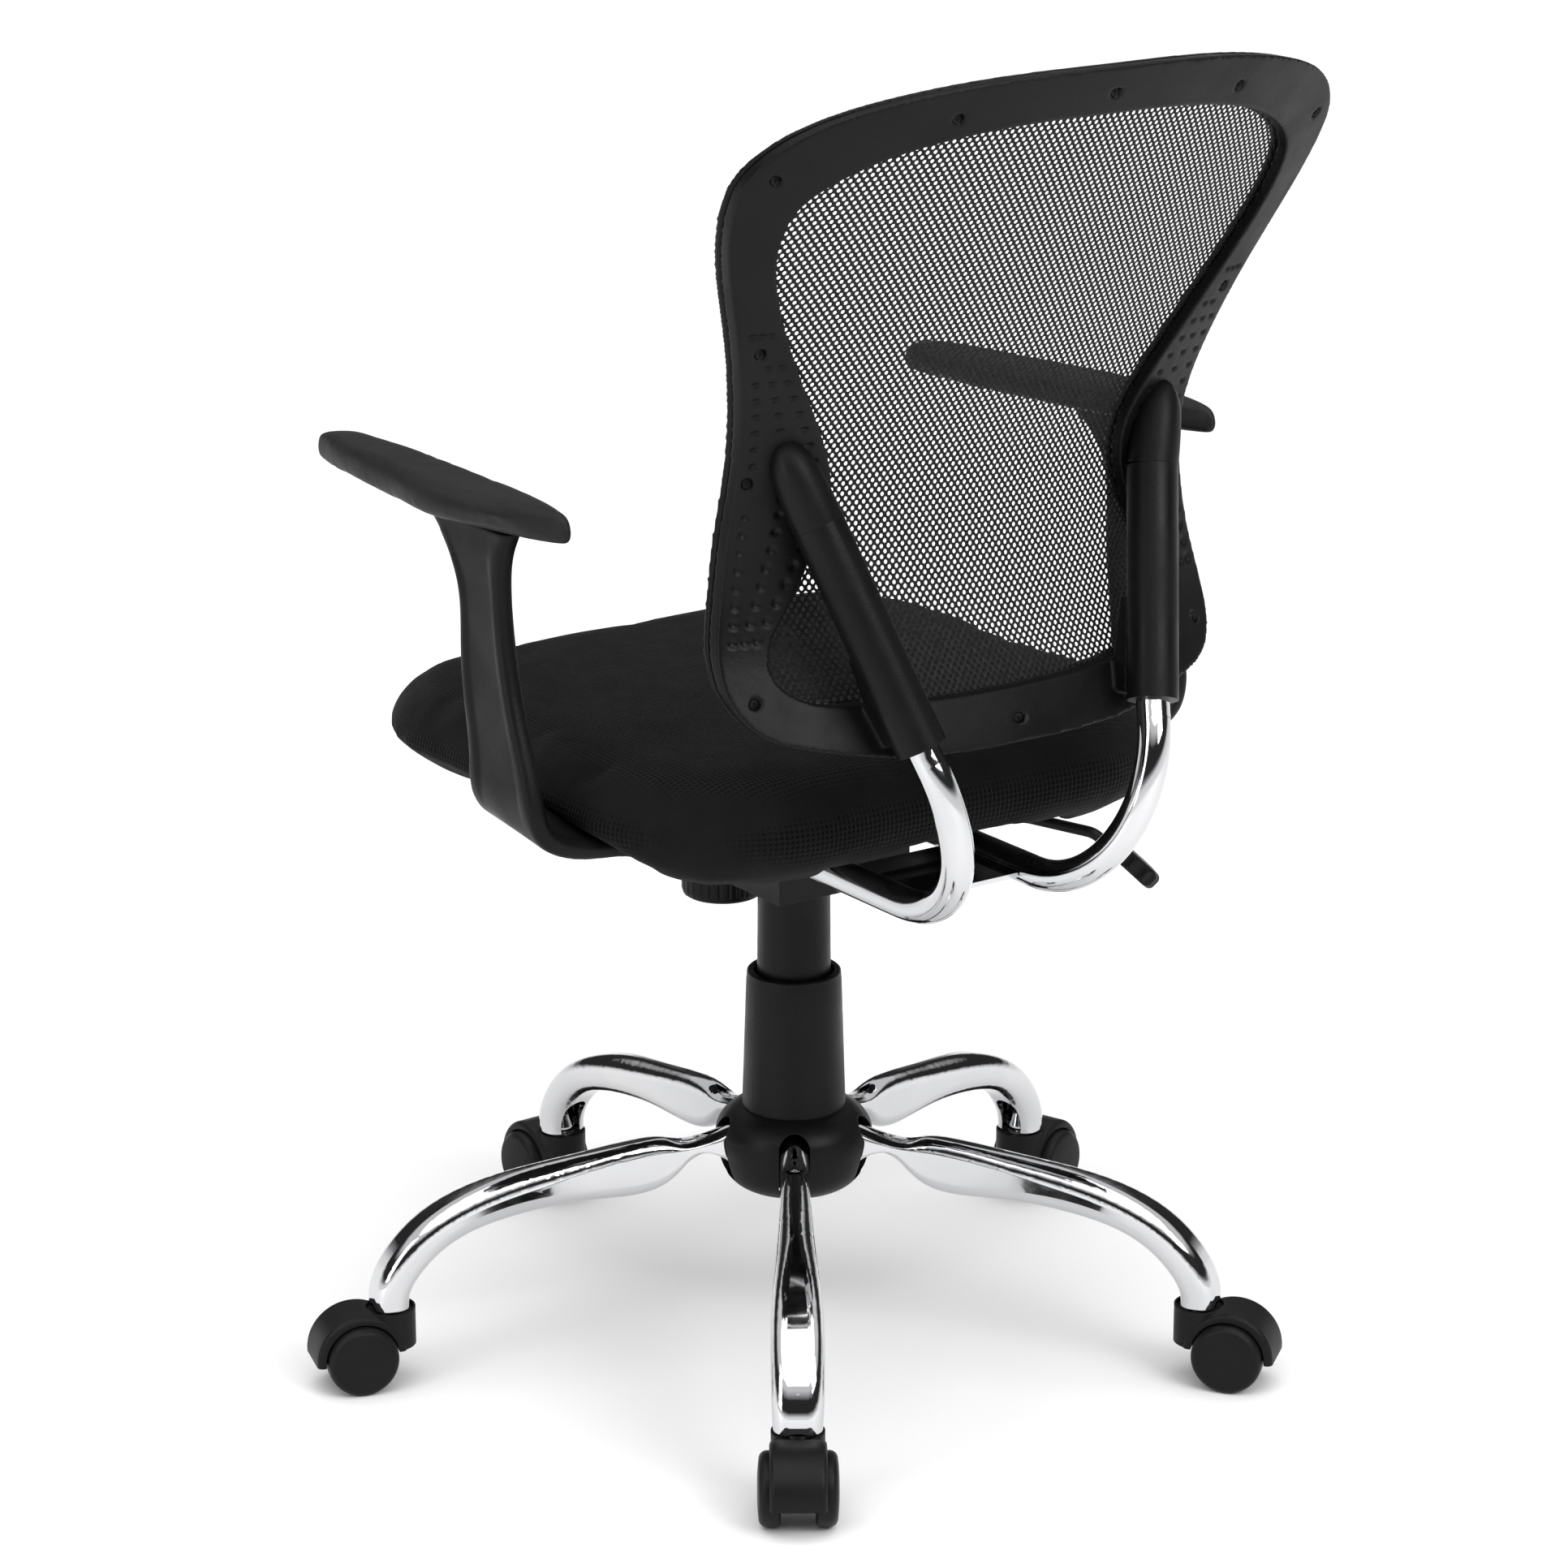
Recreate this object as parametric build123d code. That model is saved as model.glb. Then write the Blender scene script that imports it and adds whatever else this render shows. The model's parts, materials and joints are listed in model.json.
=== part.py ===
from build123d import *
import os
from math import cos, radians, sin

# Swivel office chair with a mesh back, fixed arms and a five-leg base on twin-wheel casters.
# Millimetres. +Z is up, the back of the chair is +Y, the sitter's left is +X.
# The origin is on the column's axis, on the floor.

# ---- driving dimensions: base and casters
LEG_COUNT = 5
LEG_STEP = 360 / LEG_COUNT
FIRST_LEG = 55.4            # bearing of the first leg, degrees from +X towards +Y
STEM_CIRCLE = 297           # radius of the circle through the caster stems
TRAIL = 24                  # axle behind the stem
WHEEL_R = 25
WHEEL_INNER = 11.4          # wheel's inner face from the caster's middle
WHEEL_OUTER = 27
HOOD_R = 32
HOOD_HALF = 19
HOUSING_R = 18
RIM_Z = 55.5
LEG_END_Z = 57.2
STEM_R = 5.5
AXLE_R = 4
RUNNING = 0.06              # radial clearance of a running fit

# ---- column
CORE_R = 42
CORE_BOTTOM, CORE_TOP = 122, 150
TUBE_R = 24
TUBE_INNER = 21.8
TUBE_TOP = 262
COVER_BASE, COVER_TOP = 171, 271.5
CYLINDER_R = 14
CYLINDER_BORE_TOP = 318     # leaves the rod room when the seat is at its lowest
ROD_R = 5
UPPER_COVER_BORE = 24.4
UPPER_COVER_FOOT_R, UPPER_COVER_HEAD_R = 26.4, 25.3
UPPER_COVER_BOTTOM = 215
UPPER_COVER_TOP = 343

# ---- tilt mechanism
HOUSING_TOP = 396
HOUSING_HALF = 55
PIVOT_Y, PIVOT_Z = 30, 385
PIN_R = 5
BOLT_Y = -88
NOSE_BOTTOM = 357
NOSE_FRONT, NOSE_END = -123, -44
PAN_BOTTOM, PAN_END, PAN_WALL = 345, 61, 3
PLATE_RELIEF = 390.5        # the pan's rear walls stop here, under the plate as it tips back
HEAD_Z = 372                # top of the gas cylinder
LEVER_X, LEVER_Z = -61, 385.1
COLLAR_R = 8
LEVER_PIN_R = 1.4
KNOB_BOTTOM, KNOB_TOP = 303, 329
KNOB_R = 30

# ---- seat
BOARD_BOTTOM = 402
BOARD_TOP = 419.5
SEAT_WIDTH, SEAT_DEPTH, SEAT_CORNER = 488, 472, 135
SEAT_Y = -24
CUSHION_BOTTOM, CUSHION_TOP = 420, 473

# ---- back
BACK_BOW = 8.3e-4           # the back wraps forward by this times x squared
FRAME_REAR_DEPTH = 11
FRAME_FRONT_DEPTH = 18
MESH_NEAR, MESH_FAR = 11.1, 12.3
MESH_OVERLAP = 0.3          # how far the mesh reaches under the frame, as a share of its width
BACK_LINE = [(262, 495), (248, 530), (230, 566), (217.5, 618), (216, 652), (221, 690),
             (239, 740), (281, 825), (315, 886), (349, 956)]
OUTER_LINE = [(0, 951), (95, 948), (150, 940), (192, 927), (215, 912), (228, 893), (229, 868),
              (206, 797), (187.5, 740), (180, 690), (184, 645), (191, 600), (196, 568),
              (193, 545), (181, 528), (158, 518), (110, 508), (0, 503)]
INNER_LINE = [(0, 920), (95, 915), (144, 904), (175, 889), (191, 873), (195, 855), (184, 813),
              (147, 745), (127, 710), (117, 680), (121, 651), (132, 626), (151, 595),
              (163, 574), (163, 560), (155, 550), (112, 540), (0, 536)]
SCREWS = [(211, 894), (109, 927), (0, 935), (184, 775), (172, 685), (179, 546), (0, 517)]
SLEEVE_FOOT = (92.2, 276, 512)
SLEEVE_SEAM = (134.8, 218, 658)
SLEEVE_HEAD = (149.4, 206, 701)
SLEEVE_R = 17
SLEEVE_END_Z = 518
TUBE_BACK_R = 11
TUBE_RUN_Z = 387.8          # middle of the tubes' run under the seat

# ---- arms
ARM_PATH = [  # x, z, bearing of the path, middle y, fore-aft width, thickness, tilt down to the rear
    (146, 404, 4, 66, 58, 12, 0), (160, 407, 18, 64, 62, 12, 0), (174, 414, 28, 61, 68, 12, 2),
    (196, 425, 22, 58, 78, 12, 5), (220, 431.5, 12, 57, 82, 12.5, 9), (243, 436.5, 22, 57, 82, 13, 10),
    (259, 443, 52, 57, 80, 13.5, 8), (267, 457, 80, 57, 77, 14, 4), (268.5, 480, 89, 54, 72, 14, 0),
    (268.5, 512, 90, 46, 64, 14, 0), (268.5, 553, 90, 38, 56, 14, 0), (268.5, 600, 90, 33, 54, 14, 0),
    (267.5, 624, 90, 25, 74, 14, 0), (266, 640, 90, 16, 104, 15, 0)]
PAD_OUTLINE = [(258, -198), (272, -145), (281, -84), (290, -27), (293, 5), (289, 38), (281, 75),
               (273, 112), (263, 129), (254, 112), (247, 85), (238, 10), (231, -63), (228, -130),
               (229, -170), (240, -198)]
PAD_BOTTOM, PAD_THICK, PAD_PITCH = 641, 19, 1.5

# the paddle lies along the rod's last stretch, sloping down and outward
LEVER_PLACE = Plane(origin=(-218, 79, 336), x_dir=(-0.66, 0.28, -0.70), z_dir=(-0.64, 0.28, 0.715)).location

parts = {}


def keep(name, *shapes):
    """Files one or more separate solids under one node name."""
    solids = []
    for shape in shapes:
        solids.extend(shape.solids())
    parts[name] = Compound(children=solids) if len(solids) > 1 else solids[0]


def mirrored(shape):
    """The same piece on the sitter's other side."""
    return mirror(shape, about=Plane.YZ)


def turned(points):
    """A solid of revolution about Z from (radius, height) points, joined by straight lines."""
    outline = Polyline(*[(r, 0, z) for r, z in points], close=True)
    return revolve(make_face(outline), axis=Axis.Z)


def rod(start, end, radius):
    """A round bar between two points."""
    a, b = Vector(*start), Vector(*end)
    plane = Plane(origin=a, z_dir=(b - a).normalized())
    return extrude(plane * Circle(radius), (b - a).length)


def leg_place(k):
    """The place of a piece modelled along +X, on leg k."""
    return Rot(0, 0, FIRST_LEG - LEG_STEP * k)


# ---------------------------------------------------------------- base

LEG_STATIONS = [  # radius, height, fall in degrees, width, depth
    (43.5, 143.5, 3, 19, 35), (100, 139, 5, 21, 35), (155, 134.3, 6, 24, 34),
    (202, 129.5, 10, 29, 30.5), (240, 120.5, 20, 33.5, 27), (268, 106, 36, 35.5, 25.5),
    (287, 87, 56, 35.5, 25), (296, 70, 78, 34.5, 25), (297, LEG_END_Z, 90, 33, 25.5)]


def leg_section(radius, height, fall, width, depth, wall=0):
    angle = radians(fall)
    plane = Plane(origin=(radius, 0, height), x_dir=(0, 1, 0), z_dir=(cos(angle), 0, -sin(angle)))
    inner_width, inner_depth = width - 2 * wall, depth - 2 * wall
    return plane * RectangleRounded(inner_width, inner_depth, 0.42 * min(inner_width, inner_depth))


def make_leg():
    """A chromed leg with a pocket in its end, open on the hub side above the caster."""
    leg = loft([leg_section(*station) for station in LEG_STATIONS])
    leg -= Pos(STEM_CIRCLE, 0, 50) * extrude(RectangleRounded(20.4, 28, 8), 20)
    leg -= Pos(STEM_CIRCLE - 2.4, 0, 76) * Cylinder(8.6, 16)
    window = Plane(origin=(268, 0, 66), x_dir=(0, 0, 1), z_dir=(1, 0, 0)) * SlotOverall(40, 17)
    return leg - extrude(window, 25)


def make_socket():
    """The plug that closes a leg's end and holds a caster's stem."""
    outline = Polyline((0, LEG_END_Z), (9.6, LEG_END_Z), (9.6, 60), (6.6, 69.5), (3.2, 72),
                       (3.9, 74), (3.7, 76.5), (2.2, 78.2), (0, 78.8), close=True)
    body = revolve(make_face(Plane.XZ * outline), axis=Axis.Z)
    bore = Pos(0, 0, LEG_END_Z - 1) * Cylinder(STEM_R + RUNNING, 11,
                                               align=(Align.CENTER, Align.CENTER, Align.MIN))
    return Pos(STEM_CIRCLE, 0, 0) * (body - bore)


def make_hub_core():
    """The steel boss that the legs are welded to."""
    body = turned([(TUBE_R, CORE_BOTTOM), (CORE_R, CORE_BOTTOM), (CORE_R, CORE_TOP),
                   (TUBE_R, CORE_TOP)])
    legs = [leg_place(k) * Pos(48, 0, 143.5) * Box(13, 24, 44) for k in range(LEG_COUNT)]
    return body - legs


def make_hub_cover():
    """The bulbous cap round the hub, slotted for each leg."""
    outside = Spline((36.8, 171), (47, 166), (54.8, 155), (53.6, 137), (48, 121), (39, 113))
    inside = Polyline((39, 113), (37, 113), (44.5, 122), (50, 138), (51.2, 153), (45, 163),
                      (33.5, 168.4), (33.5, 171), (36.8, 171))
    shell = revolve(make_face(Plane.XZ * Wire(outside.edges() + inside.edges())), axis=Axis.Z)
    for k in range(LEG_COUNT):
        slot = Pos(52, 0, 139) * Box(34, 21.6, 36)
        arch = Pos(52, 0, 154.5) * Rot(0, 90, 0) * Cylinder(10.8, 34)
        shell = shell - leg_place(k) * slot - leg_place(k) * arch
    return shell


# ---------------------------------------------------------------- casters

def make_hood():
    """Hood with the stem housing, two wheel arches and the boss between the wheels."""
    disc = Pos(TRAIL, 0, WHEEL_R) * Rot(90, 0, 0) * Cylinder(HOOD_R, 2 * HOOD_HALF)
    disc = fillet(disc.edges().filter_by(GeomType.CIRCLE), 4)
    housing = Pos(0, 0, 28) * Cylinder(HOUSING_R, RIM_Z - 28,
                                       align=(Align.CENTER, Align.CENTER, Align.MIN))
    body = disc + housing
    body -= Pos(TRAIL + 30, 0, 0) * Box(60, 60, 2 * 22.5)
    body -= Pos(TRAIL - 30, 0, 0) * Box(60, 60, 2 * 28)
    body += Pos(TRAIL, 0, WHEEL_R) * Rot(90, 0, 0) * Cylinder(12, 2 * (WHEEL_INNER - 0.6))
    web = Pos(TRAIL, 0, WHEEL_R) * Box(20, 2 * (WHEEL_INNER - 2), 30)
    body += web - Pos(TRAIL, 0, WHEEL_R - 22) * Box(60, 60, 24)
    for side in (-1, 1):
        arch = Cylinder(WHEEL_R + 1.2, 20)
        body -= Pos(TRAIL, side * (WHEEL_INNER - 0.5 + 10), WHEEL_R) * Rot(90, 0, 0) * arch
    body -= Pos(TRAIL, 0, WHEEL_R) * Rot(90, 0, 0) * Cylinder(AXLE_R, 60)
    body -= Pos(0, 0, 34) * Cylinder(STEM_R, 60, align=(Align.CENTER, Align.CENTER, Align.MIN))
    body -= Pos(0, 0, RIM_Z - 2.5) * Cylinder(16.6, 10, align=(Align.CENTER, Align.CENTER, Align.MIN))
    return body


def make_caster_pins():
    """The upright stem with its washer, and the axle that both wheels turn on."""
    stem = turned([(0, 34), (STEM_R, 34), (STEM_R, 53), (9, 53), (9, 54.6), (STEM_R, 54.6),
                   (STEM_R, 65.5), (4.4, 66.5), (0, 66.5)])
    axle = Pos(TRAIL, 0, WHEEL_R) * Rot(90, 0, 0) * Cylinder(AXLE_R, 44)
    return stem, axle


def make_wheel(side):
    """One wheel of the pair, domed outside, on its half of the axle."""
    tread = Polyline((AXLE_R + RUNNING, WHEEL_INNER), (22, WHEEL_INNER), (WHEEL_R, 13), (WHEEL_R, 20))
    dome = ThreePointArc((WHEEL_R, 20), (23.6, 24.2), (19.5, 26.1))
    face = Spline((19.5, 26.1), (10, 26.9), (0, WHEEL_OUTER), tangents=[(-1, 0.12), (-1, 0)])
    bore = Polyline((0, WHEEL_OUTER), (0, 23), (AXLE_R + RUNNING, 23), (AXLE_R + RUNNING, WHEEL_INNER))
    outline = Wire(tread.edges() + dome.edges() + face.edges() + bore.edges())
    wheel = revolve(make_face(Plane.XZ * outline), axis=Axis.Z)
    return Pos(TRAIL, 0, WHEEL_R) * Rot(-90 * side, 0, 0) * wheel


# ---------------------------------------------------------------- column

def make_column():
    """Outer tube with its end plate, plastic bushing and the tapered trim cover."""
    tube = turned([(ROD_R + 0.3, 118), (TUBE_R, 118), (TUBE_R, TUBE_TOP), (TUBE_INNER, TUBE_TOP),
                   (TUBE_INNER, 121), (ROD_R + 0.3, 121)])
    bushing = turned([(CYLINDER_R + RUNNING, 212), (TUBE_INNER, 212), (TUBE_INNER, TUBE_TOP),
                      (TUBE_R - 0.4, TUBE_TOP), (TUBE_R - 0.4, 265), (CYLINDER_R + RUNNING, 265)])
    cover = turned([(34.4, COVER_BASE), (36.6, COVER_BASE), (33.6, 264), (33, COVER_TOP - 1),
                    (32, COVER_TOP), (28.8, COVER_TOP), (28.3, COVER_TOP - 1), (28.3, COVER_TOP - 4),
                    (31, COVER_TOP - 5)])
    return tube, bushing, cover


def make_spindle():
    """Piston rod, the bearing it turns on and the clip under the end plate."""
    piston = turned([(0, 106), (ROD_R, 106), (ROD_R, 255), (0, 255)])
    bearing = turned([(ROD_R, 121.1), (14, 121.1), (14, 126), (ROD_R, 126)])
    clip = turned([(ROD_R, 112.5), (9, 112.5), (9, 114), (ROD_R, 114)])
    return piston, bearing, clip


def make_gas_cylinder():
    """Pressure cylinder: blind bore for the rod, tapered head, and the valve well on top."""
    return turned([(ROD_R + RUNNING, 190), (CYLINDER_R - 1, 190), (CYLINDER_R, 191),
                   (CYLINDER_R, 346), (13.35, HEAD_Z), (3.2, HEAD_Z), (3.2, 356), (0, 356),
                   (0, CYLINDER_BORE_TOP), (ROD_R + RUNNING, CYLINDER_BORE_TOP)])


# ---------------------------------------------------------------- mechanism

def block(x, y, z):
    """A box between pairs of limits."""
    size = Box(x[1] - x[0], y[1] - y[0], z[1] - z[0])
    return Pos((x[0] + x[1]) / 2, (y[0] + y[1]) / 2, (z[0] + z[1]) / 2) * size


def make_mechanism():
    """Open-topped pan with a socket for the cylinder, a shallow nose and the pivot bores."""
    half, inner = HOUSING_HALF, HOUSING_HALF - PAN_WALL
    body = block((-half, half), (NOSE_END, PAN_END), (PAN_BOTTOM, HOUSING_TOP))
    body += block((-half, half), (NOSE_FRONT, NOSE_END + 1), (NOSE_BOTTOM, HOUSING_TOP))
    body -= block((-inner, inner), (NOSE_END - 1, PAN_END - PAN_WALL), (PAN_BOTTOM + PAN_WALL, 400))
    body -= block((-inner, inner), (NOSE_FRONT + PAN_WALL, NOSE_END + 1), (NOSE_BOTTOM + PAN_WALL, 400))
    body += Pos(0, 0, (PAN_BOTTOM + 370) / 2) * Cylinder(20, 370 - PAN_BOTTOM)
    body -= Pos(0, BOLT_Y - 3, NOSE_BOTTOM) * Rot(0, 0, 90) * extrude(SlotOverall(28, 13), 8, both=True)
    body -= turned([(0, 340), (CYLINDER_R + 0.05, 340), (CYLINDER_R + 0.05, 346), (13.4, HEAD_Z),
                    (0, HEAD_Z)])
    body -= block((-half - 1, half + 1), (41, PAN_END + 1), (PLATE_RELIEF, HOUSING_TOP + 1))
    body -= Pos(0, PIVOT_Y, PIVOT_Z) * Rot(0, 90, 0) * Cylinder(PIN_R, 200)
    body -= Pos(LEVER_X, 0, LEVER_Z) * Rot(0, 90, 0) * Cylinder(COLLAR_R + 0.08, 30)
    return body


def make_pivot_pin():
    pin = Pos(0, PIVOT_Y, PIVOT_Z) * Rot(0, 90, 0) * Cylinder(PIN_R, 2 * 63)
    head = Pos(64.5, PIVOT_Y, PIVOT_Z) * Rot(0, 90, 0) * Cylinder(8, 3)
    return pin + head


def make_tilt_spring():
    """Compression spring between the pan's nose and the tension knob."""
    wire = 3.4
    turns_height = NOSE_BOTTOM - 0.2 - 314.2 - wire
    path = Helix(pitch=turns_height / 5, height=turns_height, radius=12.5)
    coil = sweep(Plane(origin=path @ 0, z_dir=path % 0) * Circle(wire / 2), path=path)
    return Pos(0, BOLT_Y, 314.2 + wire / 2) * coil


def make_knob():
    """Fluted cup on the tension bolt; the spring stands on its floor."""
    body = turned([(0, KNOB_BOTTOM), (26, KNOB_BOTTOM), (28.5, KNOB_BOTTOM + 1.6),
                   (KNOB_R - 0.4, KNOB_BOTTOM + 5), (KNOB_R, KNOB_TOP), (18, KNOB_TOP), (17.5, 314),
                   (ROD_R + 0.1, 314), (ROD_R + 0.1, 306), (0, 306)])
    for k in range(28):
        groove = Pos(KNOB_R + 1.1, 0, 324) * Cylinder(2.1, 34)
        body -= Rot(0, 0, k * 360 / 28) * groove
    return Pos(0, BOLT_Y, 0) * body


def make_bolt():
    """Tension bolt, its head on top of the seat plate."""
    return Pos(0, BOLT_Y, 0) * turned([(0, 306.5), (ROD_R, 306.5), (ROD_R, BOARD_BOTTOM - 3.2),
                                       (0, BOARD_BOTTOM - 3.2)])


def make_seat_plate():
    """Steel plate under the seat board with two flanges that hang on the pivot pin."""
    plate = Pos(0, -10, BOARD_BOTTOM - 1.6) * Box(176, 260, 3)
    for side in (-1, 1):
        flange = Pos(side * 59.5, -5, 386) * Box(3, 130, 29)
        plate += flange
    plate -= Pos(0, PIVOT_Y, PIVOT_Z) * Rot(0, 90, 0) * Cylinder(PIN_R + RUNNING, 124)
    plate -= Pos(LEVER_X, 0, 382) * Box(10, 36, 30)
    return plate


# ---------------------------------------------------------------- controls

def cross_pin(radius):
    """A bar along Y through the collar's middle."""
    return Pos(LEVER_X, 0, LEVER_Z) * Rot(90, 0, 0) * Cylinder(radius, 2 * COLLAR_R - 1)


def make_lever_collar():
    """Sleeve in the pan's side that holds the lever's pin; pulled out, it frees the tilt."""
    sleeve = Pos(LEVER_X, 0, LEVER_Z) * Rot(0, 90, 0) * (Cylinder(COLLAR_R, 28) - Cylinder(5.6, 60))
    return sleeve - cross_pin(LEVER_PIN_R)


def make_lever():
    """Bent rod and the finger paddle at its end."""
    wire = FilletPolyline((6, 0, LEVER_Z), (-84, 0, LEVER_Z), (-150, 8, 366), (-206, 76, 353),
                          (-226, 85, 332), radius=[20, 20, 12])
    bar = sweep(Plane(origin=wire @ 0, z_dir=wire % 0) * Circle(4), path=wire)
    return bar - cross_pin(LEVER_PIN_R + RUNNING)


def make_paddle():
    """Flat grip with three finger scallops along its lower edge."""
    plan = Polyline((-12, -9), (-9, 12), (30, 15), (39, 9), (39, -9), (31, -16), (4, -16), close=True)
    grip = extrude(make_face(plan), 13)
    grip = fillet(grip.edges(), 4.5)
    for along in (5, 18, 31):
        grip -= Pos(along, -23, 0) * Cylinder(9, 60)
    return grip


def make_release_button():
    """Valve pin in the head of the gas cylinder, pressed by the lever."""
    return turned([(0, 363), (3.14, 363), (3.14, 378), (6, 378), (6, 381), (0, 381)])


# ---------------------------------------------------------------- seat

def seat_outline(inset):
    return Pos(0, SEAT_Y) * RectangleRounded(SEAT_WIDTH - 2 * inset, SEAT_DEPTH - 2 * inset,
                                             SEAT_CORNER - inset)


def make_board():
    low = Plane.XY.offset(BOARD_BOTTOM) * seat_outline(80)
    high = Plane.XY.offset(BOARD_TOP) * seat_outline(46)
    return loft([low, high])


def arm_recess():
    """The space over an arm's foot, cut from the board and the cushion."""
    side = Polyline((138, 400), (138, 411.5), (146, 412), (172, 423), (196, 436), (220, 446),
                    (243, 452), (262, 457), (262, 400), close=True)
    return Pos(0, 106, 0) * extrude(Plane.XZ * make_face(side), 98)


def make_cushion():
    block = extrude(Plane.XY.offset(CUSHION_BOTTOM) * seat_outline(0), CUSHION_TOP - CUSHION_BOTTOM)
    block = fillet(block.faces().sort_by(Axis.Z)[-1].edges(), 24)
    return fillet(block.faces().sort_by(Axis.Z)[0].edges(), 12)


# ---------------------------------------------------------------- arms

def arm_section(x, z, bearing, mid_y, width, thick, tilt):
    angle, lean = radians(bearing), radians(tilt)
    plane = Plane(origin=(x, mid_y, z), x_dir=(0, cos(lean), -sin(lean)),
                  z_dir=(cos(angle), 0, sin(angle)))
    return plane * RectangleRounded(width, thick, 0.36 * thick)


def make_arm():
    return loft([arm_section(*station) for station in ARM_PATH])


def pad_section(height, inset):
    """The pad's outline at a height, drawn in by an inset."""
    middle_x, middle_y, half_x, half_y = 260, -35, 32, 165
    shrink_x, shrink_y = 1 - inset / half_x, 1 - inset / half_y
    points = [(middle_x + (x - middle_x) * shrink_x, middle_y + (y - middle_y) * shrink_y)
              for x, y in PAD_OUTLINE]
    return Plane.XY.offset(height) * make_face(Spline(*points, periodic=True))


def make_pad():
    """Leaf-shaped arm pad with softened edges, tipped up slightly towards the back."""
    levels = [(0, 4), (2, 1.2), (6, 0), (11, 0.6), (15.5, 3), (18, 6.5), (PAD_THICK, 11)]
    pad = loft([pad_section(height, inset) for height, inset in levels])
    return Pos(0, 0, PAD_BOTTOM) * Rot(PAD_PITCH, 0, 0) * pad


# ---------------------------------------------------------------- back

def along_sleeve(height):
    """Point on the line through the sleeve at a height."""
    share = (height - SLEEVE_FOOT[2]) / (SLEEVE_SEAM[2] - SLEEVE_FOOT[2])
    return tuple(a + share * (b - a) for a, b in zip(SLEEVE_FOOT, SLEEVE_SEAM))


def make_back_tube():
    """J-shaped tube: forward under the seat, round the bend and up into the sleeve."""
    top = along_sleeve(640)
    foot = along_sleeve(512)
    corner = along_sleeve(TUBE_RUN_Z - 24)
    path = FilletPolyline((54.6, 74, TUBE_RUN_Z), (55.6, corner[1] + 16, TUBE_RUN_Z), foot, top, radius=86)
    return sweep(Plane(origin=path @ 0, z_dir=path % 0) * Circle(TUBE_BACK_R), path=path)


def curved_slab(near, far):
    """The back's curved body between two depths behind its rear surface."""
    sections = []
    for x in (-236, -160, -80, 0, 80, 160, 236):
        bow = -BACK_BOW * x * x
        rear = Spline(*[(x, y + bow - near, z) for y, z in BACK_LINE])
        front = Spline(*[(x, y + bow - far, z) for y, z in BACK_LINE])
        foot = Line(front @ 0, rear @ 0)
        head = Line(rear @ 1, front @ 1)
        sections.append(make_face(Wire([*foot.edges(), *rear.edges(), *head.edges(), *front.edges()])))
    return loft(sections)


def closed_half(points):
    """A mirrored closed outline from the points of its +X half."""
    half = Spline(*points, tangents=[(1, 0), (-1, 0)])
    return Wire([*half.edges(), *mirror(half, about=Plane.YZ).edges()])


def prism(points):
    outline = make_face(closed_half(points))
    return Pos(0, 400, 0) * Rot(90, 0, 0) * extrude(outline, 400)


def make_back():
    outer, opening = prism(OUTER_LINE), prism(INNER_LINE)
    rear = (curved_slab(0, FRAME_REAR_DEPTH) & outer) - opening
    front = (curved_slab(MESH_FAR + 0.1, FRAME_FRONT_DEPTH) & prism(OUTER_LINE)) - opening
    edge = [(a + MESH_OVERLAP * (c - a), b + MESH_OVERLAP * (d - b))
            for (a, b), (c, d) in zip(INNER_LINE, OUTER_LINE)]
    net = curved_slab(MESH_NEAR, MESH_FAR) & prism(edge)
    return rear, front, net


def screw_seats():
    """Where the frame's screws sit: positions on the rear surface."""
    line = curved_slab(0, FRAME_REAR_DEPTH)
    seats = []
    for x, z in SCREWS:
        for side in ((1, -1) if x else (1,)):
            ray = line.intersect(Axis((side * x, 600, z), (0, -1, 0)))
            seats.append((side * x, max(v.Y for v in ray.vertices()), z))
    return seats


def make_screws(seats):
    """Countersunk frame screws with a cross recess."""
    screws = []
    for x, y, z in seats:
        head = Pos(x, y - 3.4, z) * Rot(90, 0, 0) * Cylinder(3.2, 2)
        cross = Pos(x, y - 2.2, z) * Box(4, 2, 0.9) + Pos(x, y - 2.2, z) * Box(0.9, 2, 4)
        screws.append(head - cross)
    return screws


def make_sleeve():
    """Plastic sleeve over the tube's upper end."""
    lower = rod(along_sleeve(SLEEVE_END_Z), SLEEVE_SEAM, SLEEVE_R)
    return lower - rod(along_sleeve(480), along_sleeve(640), TUBE_BACK_R)


def make_sleeve_cap():
    """Domed cap that carries the sleeve's line on and dies into the frame."""
    seam = Vector(*SLEEVE_SEAM)
    reach = Vector(*SLEEVE_HEAD) - seam
    along, aside = reach.normalized(), reach.cross(Vector(0, 0, 1)).normalized()
    height = reach.length + 12

    def at(radius, rise):
        return seam + aside * radius + along * rise

    dome = Spline(at(SLEEVE_R, 0.3), at(0.94 * SLEEVE_R, 0.5 * height), at(0.62 * SLEEVE_R, 0.87 * height),
                  at(0, height), tangents=[along, -aside])
    edges = [Line(at(0, 0.3), at(SLEEVE_R, 0.3)), dome, Line(at(0, height), at(0, 0.3))]
    return revolve(make_face(Wire([edge.edges()[0] for edge in edges])), axis=Axis(seam, along))


def make_web():
    """Web between the sleeve's foot and the frame's lower member, with its free edge rounded off."""
    low, high = Vector(*along_sleeve(SLEEVE_END_Z)), Vector(*along_sleeve(575))
    forward = Vector(0, -1, 0)
    corners = [low, high, high + forward * 22, low + forward * 33]
    face = make_face(Polyline(*corners, close=True))
    return extrude(face, 11, both=True)


def make_cross_plate():
    """Flat plate welded between the back tubes."""
    return Pos(0, 160, 386.5) * Box(86.4, 76, 3.4)


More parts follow.
